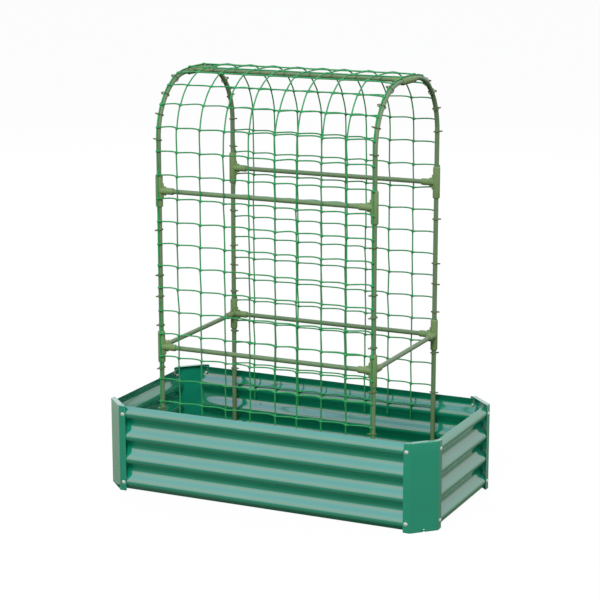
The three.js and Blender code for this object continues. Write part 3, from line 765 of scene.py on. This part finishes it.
look = {"Drift": 40.0, "Grain": 900.0, "Height": 0.02 * MM, "Matt": 0.42}
joint_plastic = skinned("olive_joint_plastic", moulded, JOINT_OLIVE, look, IOR=1.5)
two_way = joint_mesh("two_way_joint", (0.0, math.pi / 2))
one_way = joint_mesh("one_way_joint", (0.0,))
for corner, (x_sign, y_sign, _) in CORNERS.items():
    for kind, model, height_node in (("corner_joint", two_way, "leg"), ("tee_joint", one_way, "post")):
        low, high = box_of(f"{kind}_{corner}")
        leg_low, leg_high = box_of(f"{height_node}_{corner}")
        centre = (leg_low + leg_high) / 2
        centre[2] = (low[2] + high[2]) / 2
        basis = [(-x_sign, 0, 0), (0, -x_sign, 0), (0, 0, 1)]
        if kind == "corner_joint" and x_sign != y_sign:
            basis[:2] = (0, -y_sign, 0), (-x_sign, 0, 0)
        name = f"push_fit_{kind}_{corner}"
        piece(name, copied(model, name, basis, centre), joint_plastic, [f"{kind}_{corner}"])
for side, sign in (("left", -1), ("right", 1)):
    low, high = box_of(f"ridge_joint_{side}")
    centre = (low + high) / 2
    centre[0] = sign * abs(tube_x["front_right"])
    name = f"push_fit_ridge_joint_{side}"
    basis = [(-sign, 0, 0), (0, 0, sign), (0, 1, 0)]
    piece(name, copied(one_way, name, basis, centre), joint_plastic, [f"ridge_joint_{side}"])
for model in (two_way, one_way):
    bpy.data.meshes.remove(model)

# ---------- climbing net ----------
# One net of 4.8 mm plastic cord, knotted into cells of about 85 by 78 mm. It hangs over both hoops
# from just above the soil in front to just above it behind, with its edge cords on the tubes.
CORD_RADIUS = 2.4 * MM
NET_LIFT = 10.4 * MM  # from the tubes' centre line to the middle of a cord that lies on a tube
SLEEVE_LIFT = 14.65 * MM  # the same for a cord on a sleeve, and for the net between the hoops
CORD_COLUMNS = np.array([-384, -310, -226, -138, -48, 44, 121, 208, 295, 382]) * MM
EDGE_SHIFT = 3 * MM  # of an edge cord where it passes over a sleeve
ROW_PITCH = 77.8 * MM
FIRST_ROW = 49.5 * MM  # distance along the net from the middle of its roof
ROWS_A_SIDE = 18
TIGHT_ROWS = (8, 11)  # rows between which the cells are pulled shorter
TIGHT_BY = 9.8 * MM
CORD_TAIL = 46 * MM
CORD_RISE = 7.5 * MM  # of a row's cord between two knots, steepest before the knot on its right
ROOF_RISE = 0.1  # share of it on the roof, up to half of the reach; at one and a half it is whole
ROOF_REACH = 200 * MM
CORD_LEAN = 1.0 * MM
KNOT_HALVES = np.array([5.9, 5.4, 3.6]) * MM  # half sizes across, along and outwards
KNOT_SIZES = (0.92, 1.08)  # least and most against those halves
KNOT_LIFT = 0.5 * MM
KNOT_STRAY = 1.0 * MM
RISE_STRAY = 0.15
TAIL_SIZES = (0.93, 1.04)
TAIL_SWAY = 1.5 * MM
TAIL_STEPS = 5
SWELL_REACH = 5 * MM  # of a cord's thicker stretch beside a knot
ROW_SWELL = 0.45
COLUMN_SWELL = 0.25
SLEEVE_SLOPE = 12 * MM
HOOP_SLOPE = 60 * MM
EDGE_REACH = 7 * MM  # how far outside the hoop a cord still bends down round the tube
CELL_STEPS = 9
CELL_CROWD = 0.09
NET_SEED = 7
CORD_SIDES = 6
NET_GREEN = ((0.018, 0.258, 0.070, 1), (0.028, 0.302, 0.090, 1))
SLEEVE_ZONES = ((457, 567), (985, 1094))  # heights of the sleeves on the uprights, in mm
hoop_x = abs(tube_x["front_right"])
net_bend = HOOP_BEND + NET_LIFT
net_arc = net_bend * math.pi / 2
rng = np.random.default_rng(NET_SEED)


def net_place(distance, x, lift):
    """Point of the net: level for shoulder_y, then round the bend, then straight down; lift is the
    distance outwards from the tubes' centre line."""
    past = np.abs(distance) - shoulder_y
    angle = np.clip(past / net_bend, 0, math.pi / 2)
    level = np.minimum(np.abs(distance), shoulder_y)
    drop = np.maximum(past - net_arc, 0)
    y = np.sign(distance) * (level + (HOOP_BEND + lift) * np.sin(angle))
    z = shoulder_z + (HOOP_BEND + lift) * np.cos(angle) - drop
    return points_of(x, y, z)


def eased(share):
    """Smooth step 3 s^2 - 2 s^3 of a share that is kept between 0 and 1."""
    share = np.clip(share, 0, 1)
    return share * share * (3 - 2 * share)


def sleeve_share(distance):
    """1 where the net lies over a sleeve, 0 away from them, with a slope between."""
    height = shoulder_z - (np.abs(distance) - shoulder_y - net_arc)
    zones = [(low * MM, high * MM, height) for low, high in SLEEVE_ZONES]
    zones.append((-SLEEVE_HALF, SLEEVE_HALF, distance))
    share = np.zeros_like(distance)
    for low, high, value in zones:
        outside = np.maximum(low - value, value - high)
        share = np.maximum(share, 1 - outside / SLEEVE_SLOPE)
    return eased(share)


def net_lift(distance, x):
    """Height of a cord's middle over the tubes' centre line: on the tube or sleeve at the hoop, and
    at the height of the sleeves everywhere from a slope's length inside it."""
    outside = np.abs(x) - hoop_x
    share = np.maximum(sleeve_share(distance), eased(-outside / HOOP_SLOPE))
    radius = NET_LIFT + (SLEEVE_LIFT - NET_LIFT) * share
    reach = np.clip(outside, 0, EDGE_REACH)
    return np.sqrt(radius**2 - reach**2)


def capped(rings):
    """Rings of a cord as a patch whose ends are closed on their middles."""
    ends = [np.broadcast_to(ring.mean(axis=0), ring.shape)[None] for ring in (rings[0], rings[-1])]
    closed = np.concatenate([ends[0], rings, ends[1]])
    return closed, quads(len(closed), closed.shape[1], columns_close=True)


def cell_steps(knots):
    """Places along a cord in knots, with steps closer together near them, and their shares of a cell."""
    even = np.linspace(0, 1, CELL_STEPS + 1)[:-1]
    shares = even - CELL_CROWD * np.sin(2 * np.pi * even)
    steps = np.append((np.arange(knots - 1)[:, None] + shares).ravel(), knots - 1)
    return steps, steps % 1


def swelled(to_knot, swell):
    """Radius of a cord R (1 + s exp(-(d / reach)^2)) at distances d from its knots."""
    return CORD_RADIUS * (1 + swell * np.exp(-((to_knot / SWELL_REACH) ** 2)))


half_rows = np.arange(ROWS_A_SIDE)
tight = np.clip((half_rows - TIGHT_ROWS[0]) / (TIGHT_ROWS[1] - TIGHT_ROWS[0]), 0, 1)
half_distance = FIRST_ROW + ROW_PITCH * half_rows - TIGHT_BY * tight
row_distance = np.concatenate([-half_distance[::-1], half_distance])
ROW_COUNT = len(row_distance)
knot_shift = rng.normal(0, KNOT_STRAY, (ROW_COUNT, len(CORD_COLUMNS), 2))
knot_shift[:, (0, -1), 1] = EDGE_SHIFT * sleeve_share(row_distance)[:, None]
row_patches, column_patches, knot_patches = [], [], []
columns = np.arange(len(CORD_COLUMNS))
for row, distance in enumerate(row_distance):
    knot_x = CORD_COLUMNS + knot_shift[row, :, 1]
    knot_s = distance + knot_shift[row, :, 0]
    steps, share = cell_steps(len(CORD_COLUMNS))
    pull = ROOF_RISE + (1 - ROOF_RISE) * np.clip(abs(distance) / ROOF_REACH - 0.5, 0, 1)
    rise = CORD_RISE * pull * (1 + RISE_STRAY * rng.normal(size=len(CORD_COLUMNS)))
    bow = rise[steps.astype(int)] * share * (1 - share**5)
    x = np.interp(steps, columns, knot_x)
    s = np.interp(steps, columns, knot_s) - np.sign(distance) * bow
    path = net_place(s, x, net_lift(s, x))
    radius = swelled(np.minimum(share, 1 - share) * ROW_PITCH, ROW_SWELL)
    outward = net_place(distance, 0.0, 1.0) - net_place(distance, 0.0, 0.0)
    row_patches.append(capped(swept(path, radius, CORD_SIDES, outward)))

rows = np.arange(ROW_COUNT)
for column, x_middle in enumerate(CORD_COLUMNS):
    steps, share = cell_steps(ROW_COUNT)
    s = np.interp(steps, rows, row_distance + knot_shift[:, column, 0])
    lean = CORD_LEAN * np.sign(-s) * (1 - 2 * share) * np.clip(np.minimum(share, 1 - share) * 16, 0, 1)
    x = np.interp(steps, rows, x_middle + knot_shift[:, column, 1]) + lean
    tail = CORD_TAIL * np.linspace(0.12, 1, TAIL_STEPS) * rng.uniform(*TAIL_SIZES)
    sway = rng.normal(0, TAIL_SWAY, 2)[:, None] * np.linspace(0.1, 1, TAIL_STEPS) ** 2
    s = np.concatenate([(s[0] - tail)[::-1], s, s[-1] + tail])
    x = np.concatenate([x[0] + sway[0][::-1], x, x[-1] + sway[1]])
    to_knot = np.concatenate([tail[::-1], np.minimum(share, 1 - share) * ROW_PITCH, tail])
    path = net_place(s, x, net_lift(s, x))
    column_patches.append(capped(swept(path, swelled(to_knot, COLUMN_SWELL), CORD_SIDES, (1, 0, 0))))

knot_ball = revolved([(math.sin(a), math.cos(a)) for a in np.linspace(0, math.pi, 6)], 8)
for row, distance in enumerate(row_distance):
    for column, x_middle in enumerate(CORD_COLUMNS):
        size = KNOT_HALVES * rng.uniform(*KNOT_SIZES)
        s = distance + knot_shift[row, column, 0] + knot_ball[:, :, 2] * size[1]
        x = x_middle + knot_shift[row, column, 1] + knot_ball[:, :, 0] * size[0]
        rise = net_lift(distance, x_middle) + KNOT_LIFT
        points = net_place(s, x, rise + knot_ball[:, :, 1] * size[2])
        knot_patches.append((points, quads(*knot_ball.shape[:2], columns_close=True)))

look = {"Drift": 30.0, "Grain": 420.0, "Height": 0.12 * MM, "Matt": 0.42}
cord_plastic = skinned("net_cord_plastic", moulded, NET_GREEN, look, IOR=1.4)
net_mesh = combined(
    mesh_of("net_columns", column_patches, sharp=60),
    [("UNION", mesh_of("net_rows", row_patches)), ("UNION", mesh_of("net_knots", knot_patches))],
    sharp=60,
)
piece("knotted_net", net_mesh, cord_plastic, ["climbing_net"])

# ---------- wire ties ----------
# Short lengths of 2.8 mm olive-green garden wire, wound loosely round a tube and the net's edge
# cord. On the uprights the ends are twisted together; on the bends one end hooks over the cord.
WIRE_RADIUS = 1.4 * MM
TIE_SLACK = 1.2 * MM
TWIST_LENGTH = 7 * MM
TWIST_PITCH = 6 * MM
EYE_LENGTH = 2.2 * MM
HOOK_RADIUS = 4.6 * MM
HOOK_END = 7 * MM
WIRE_OLIVE = ((0.122, 0.170, 0.058, 1), (0.090, 0.130, 0.040, 1))
TIE_HEIGHTS = {  # on the uprights, in mm
    "front_left": (301, 440, 587, 685, 757, 910),
    "front_right": (304, 444, 589, 688, 760, 912),
    "back_right": (307, 448, 592, 690, 761, 914),
    "back_left": (307, 447, 593, 690, 760, 886, 1116),
}
TIE_BENDS = {  # along the net from the middle of the roof, in mm
    "front_left": (401, 316, 238, 154),
    "front_right": (404, 317, 239, 156),
    "back_right": (398, 313, 236, 171),
    "back_left": (398, 310, 233),
}
HOOKED_WITHIN = 280 * MM  # of the middle of the roof
WIRE_SIDES = 6
LOOP_SIDES = 28
TAIL_SLOPE = 0.25  # outward share of the direction of a tie's ends
TIE_TILT = 0.07  # typical slope of a loop against the tube's cross-section


def tie_patches(distance, tube, cord, tail_side, hooked):
    """A loop round the hull of two circles, tube and cord; on one side two twisted ends or a straight
    end with a hook, on the other a small eye."""
    base = net_place(distance, tube, 0.0)
    outward = net_place(distance, tube, 1.0) - base
    along = np.cross(outward, (1.0, 0.0, 0.0))
    along *= -np.sign(along[2]) if abs(along[2]) > 0.01 else 1
    tilt = rng.normal(0, TIE_TILT, 2)
    radii = np.array([TUBE_RADIUS, CORD_RADIUS]) + WIRE_RADIUS + TIE_SLACK
    centres = np.array([(0, 0), (cord - tube, float(net_lift(distance, cord)))])
    angle = ring_angles(LOOP_SIDES)
    ray = np.stack([np.cos(angle), np.sin(angle)], axis=-1)
    nearest = np.argmax(ray @ centres.T + radii, axis=1)
    loop = centres[nearest] + radii[nearest, None] * ray

    def placed(flat, rise):
        """Points drawn as sideways and outward, and raised along the tube."""
        frame_rows = np.array([(1.0, 0.0, 0.0), outward, along])
        return base + np.column_stack([flat, rise + flat @ tilt]) @ frame_rows

    def wire(flat, rise, reference=along):
        """A wire with closed ends along such points."""
        return capped(swept(placed(flat, rise), WIRE_RADIUS, WIRE_SIDES, reference))

    ring = swept(placed(loop, np.zeros(LOOP_SIDES)), WIRE_RADIUS, WIRE_SIDES, along, close=True)
    patches = [(ring, quads(LOOP_SIDES, WIRE_SIDES, rows_close=True, columns_close=True))]
    heading = np.array([tail_side, TAIL_SLOPE]) / math.hypot(1, TAIL_SLOPE)
    foot = loop[np.argmax(ray @ np.array([tail_side * 0.8, 0.6]))]
    if hooked:
        run = np.linspace(-0.2, 1, 5) * HOOK_END
        patches.append(wire(foot + np.outer(run, heading), WIRE_RADIUS * np.ones(5)))
        bend = np.linspace(-0.3, 1.35 * math.pi, 13)
        flat = foot + np.outer(HOOK_RADIUS * (0.5 + 0.55 * np.sin(bend)), heading)
        patches.append(wire(flat, -WIRE_RADIUS + HOOK_RADIUS * (1 - np.cos(bend)), outward))
    else:
        run = np.linspace(-0.2, 1, 13) * TWIST_LENGTH
        turn = run / TWIST_PITCH * 2 * np.pi
        beside = WIRE_RADIUS * np.outer(np.cos(turn), (-heading[1], heading[0]))
        for twist in (1, -1):
            flat = foot + np.outer(run, heading) + twist * beside
            patches.append(wire(flat, twist * WIRE_RADIUS * np.sin(turn)))
    eye = loop[np.argmax(ray @ np.array([-tail_side, -0.1]))]
    run = np.linspace(-0.4, 1, 5) * EYE_LENGTH
    for twist in (1, -1):
        flat = eye + np.outer(run, (-tail_side, 0.1))
        patches.append(wire(flat, twist * WIRE_RADIUS * (1.2 - run / EYE_LENGTH)))
    return patches


look = {"Drift": 120.0, "Grain": 900.0, "Height": 0.02 * MM, "Matt": 0.38}
tie_wire = skinned("olive_tie_wire", moulded, WIRE_OLIVE, look, IOR=1.5)
for corner, (x_sign, y_sign, _) in CORNERS.items():
    edge = CORD_COLUMNS[-1] if x_sign > 0 else CORD_COLUMNS[0]
    upright = [shoulder_y + net_arc + shoulder_z - height * MM for height in TIE_HEIGHTS[corner]]
    bends = [distance * MM for distance in TIE_BENDS[corner]]
    patches = []
    for distance in upright + bends:
        patches += tie_patches(y_sign * distance, x_sign * hoop_x, edge, y_sign, distance < HOOKED_WITHIN)
    name = f"wire_ties_{corner}"
    piece(name, mesh_of(name, patches, sharp=60), tie_wire)

# ---------- floor ----------
# A plain studio floor that keeps a soft shadow of the planter. Only camera rays see it white; gloss sees
# through it to the room, but inside the bed it finds a dark patch that is painted shade for the bed, and
# other rays see a dim floor.
FLOOR_HALF = 150.0
FLOOR_WHITE = (0.86, 0.86, 0.86, 1)
FLOOR_AROUND = (0.045, 0.045, 0.035, 1)
BED_PAINTED_SHADE = (0.010, 0.014, 0.010, 1)  # painted shade: the dark patch that the gloss of the bed's inside sees between its walls
BED_INSET = 24 * MM  # from the brackets' outer faces to the edge of the dark patch
PAPER = 0.96  # share of the paper's own white against its lit white
floor_points = np.array([(-1, -1, 0), (1, -1, 0), (1, 1, 0), (-1, 1, 0)]) * FLOOR_HALF - (0, 0, 0.2 * MM)
floor_mesh = bpy.data.meshes.new("studio_floor")
floor_mesh.from_pydata(floor_points.tolist(), [], [(0, 1, 2, 3)])
floor = new_object("studio_floor", floor_mesh)
floor_paper = bpy.data.materials.new("floor_paper")
floor_paper.use_nodes = True
tree = floor_paper.node_tree
tree.nodes.clear()
lit = result(tree, "BsdfDiffuse", {"Color": FLOOR_WHITE})
glow = result(tree, "Emission", {"Color": (1, 1, 1, 1), "Strength": 1.0})
seen = result(tree, "MixShader", {0: PAPER, 1: lit, 2: glow})
place = result(tree, "VectorMath", {0: node(tree, "TexCoord").outputs["Object"]}, operation="ABSOLUTE")
bed_half = [half - BED_INSET for half in cad_box[1].xy]
beyond = result(tree, "VectorMath", {0: place, 1: (*bed_half, 1)}, operation="SUBTRACT")
x_beyond, y_beyond, _ = node(tree, "SeparateXYZ", {0: beyond}).outputs
beyond = result(tree, "Math", {0: x_beyond, 1: y_beyond}, operation="MAXIMUM")
in_bed = result(tree, "Math", {0: beyond, 1: 0.0}, operation="LESS_THAN")
# painted shade: the dark patch of floor that the bed's inner walls reflect
painted_bed_shade = result(tree, "BsdfDiffuse", {"Color": BED_PAINTED_SHADE})
mirrored = result(tree, "MixShader", {0: in_bed, 1: result(tree, "BsdfTransparent"), 2: painted_bed_shade})
around = result(tree, "BsdfDiffuse", {"Color": FLOOR_AROUND})
rays = node(tree, "LightPath").outputs
unseen = result(tree, "MixShader", {0: rays["Is Glossy Ray"], 1: around, 2: mirrored})
chosen = result(tree, "MixShader", {0: rays["Is Camera Ray"], 1: unseen, 2: seen})
node(tree, "OutputMaterial", {"Surface": chosen})
floor_mesh.materials.append(floor_paper)

# ---------- light ----------
# An even studio that is white to the camera. The gloss reflects a room that is bright and bluish in
# front, grey behind and dark below. A soft lamp stands in front, weaker ones right and behind.
AROUND = (0.50, 0.53, 0.58, 1)  # what all but camera and gloss rays meet
ROOM_LEVEL = 1.7
ROOM_FRONT = (  # sine of the elevation, colour
    (-0.95, (0.006, 0.008, 0.006)),
    (-0.87, (0.10, 0.092, 0.078)),
    (-0.50, (0.11, 0.105, 0.10)),
    (-0.30, (0.12, 0.115, 0.105)),
    (-0.10, (0.12, 0.11, 0.12)),
    (0.01, (0.58, 0.43, 0.82)),
    (0.11, (0.66, 0.50, 0.88)),
    (0.18, (0.96, 0.56, 0.72)),
    (0.45, (0.96, 0.66, 0.68)),
    (0.62, (0.88, 0.70, 0.98)),
    (0.78, (0.57, 0.60, 0.97)),
    (1.0, (0.54, 0.58, 0.92)),
)
ROOM_BEHIND = (
    (-1.0, (0.006, 0.008, 0.006)),
    (-0.55, (0.02, 0.03, 0.02)),
    (-0.42, (0.055, 0.085, 0.055)),
    (-0.30, (0.13, 0.16, 0.125)),
    (-0.20, (0.22, 0.24, 0.20)),
    (-0.05, (0.38, 0.37, 0.37)),
    (0.05, (0.48, 0.45, 0.48)),
    (0.60, (0.49, 0.47, 0.52)),
    (1.0, (0.53, 0.55, 0.90)),
)
BEHIND_LEFT = 1.6  # how much brighter the room is behind on the left than on the right


def room_colour(tree, height, bands):
    """Colour of the room over the sine of the elevation."""
    ramp = node(tree, "ValToRGB", {"Fac": ranged(tree, height, -1.0, 1.0)})
    stops = ramp.color_ramp.elements
    while len(stops) < len(bands):
        stops.new(0.5)
    for stop, (sine, colour) in zip(stops, bands):
        stop.position = (sine + 1) / 2
        stop.color = (*colour, 1)
    return ramp.outputs["Color"]


def room_times(tree, colour, level):
    """A colour times a level."""
    return result(tree, "VectorMath", {0: colour, "Scale": level}, operation="SCALE")


world = bpy.data.worlds.new("studio")
bpy.context.scene.world = world
world.use_nodes = True
tree = world.node_tree
tree.nodes.clear()
direction = node(tree, "TexCoord").outputs["Generated"]
across, depth, height = node(tree, "SeparateXYZ", {0: direction}).outputs
to_front = ranged(tree, depth, 0.6, -0.35, interpolation_type="SMOOTHSTEP")
to_left = ranged(tree, across, 0.4, -0.9, 1.0, BEHIND_LEFT)
behind = room_times(tree, room_colour(tree, height, ROOM_BEHIND), to_left)
room = room_times(tree, mixed(tree, to_front, behind, room_colour(tree, height, ROOM_FRONT)), ROOM_LEVEL)
rays = node(tree, "LightPath").outputs
seen = mixed(tree, rays["Is Camera Ray"], mixed(tree, rays["Is Glossy Ray"], AROUND, room), (1, 1, 1, 1))
node(tree, "OutputWorld", {"Surface": result(tree, "Background", {"Color": seen, "Strength": 1.0})})

LAMPS = {  # place and watts
    "lamp_front": ((1.46, -6.85, 6.1), 690),
    "lamp_right": ((6.5, 2.2, 2.6), 100),
    "lamp_back": ((-3.5, 6.5, 5.0), 240),
}
LAMP_SIZE = 3.0
LAMP_AIM = Vector((0, 0, 0.6))
for name, (spot, watts) in LAMPS.items():
    lamp = new_object(name, bpy.data.lights.new(name, "AREA"))
    lamp.data.size = LAMP_SIZE
    lamp.data.energy = watts
    lamp.location = spot
    lamp.rotation_euler = (LAMP_AIM - Vector(spot)).to_track_quat("-Z", "Y").to_euler()
    lamp.visible_glossy = False

# ---------- camera ----------
# Stands in front to the right, higher than the trellis, and looks down by 13 degrees.
CAMERA_PLACE = (2.73149, -5.87540, 2.11985)
CAMERA_YAW = math.radians(24.92)
CAMERA_PITCH = math.radians(12.76)
CAMERA_LENS = 118.22
camera = new_object("camera", bpy.data.cameras.new("camera"))
camera.data.sensor_width = 36
camera.data.lens = CAMERA_LENS
camera.data.clip_end = 500
camera.location = CAMERA_PLACE
camera.rotation_euler = (math.pi / 2 - CAMERA_PITCH, 0, CAMERA_YAW)
bpy.context.scene.camera = camera
bpy.context.scene.view_settings.view_transform = "Standard"
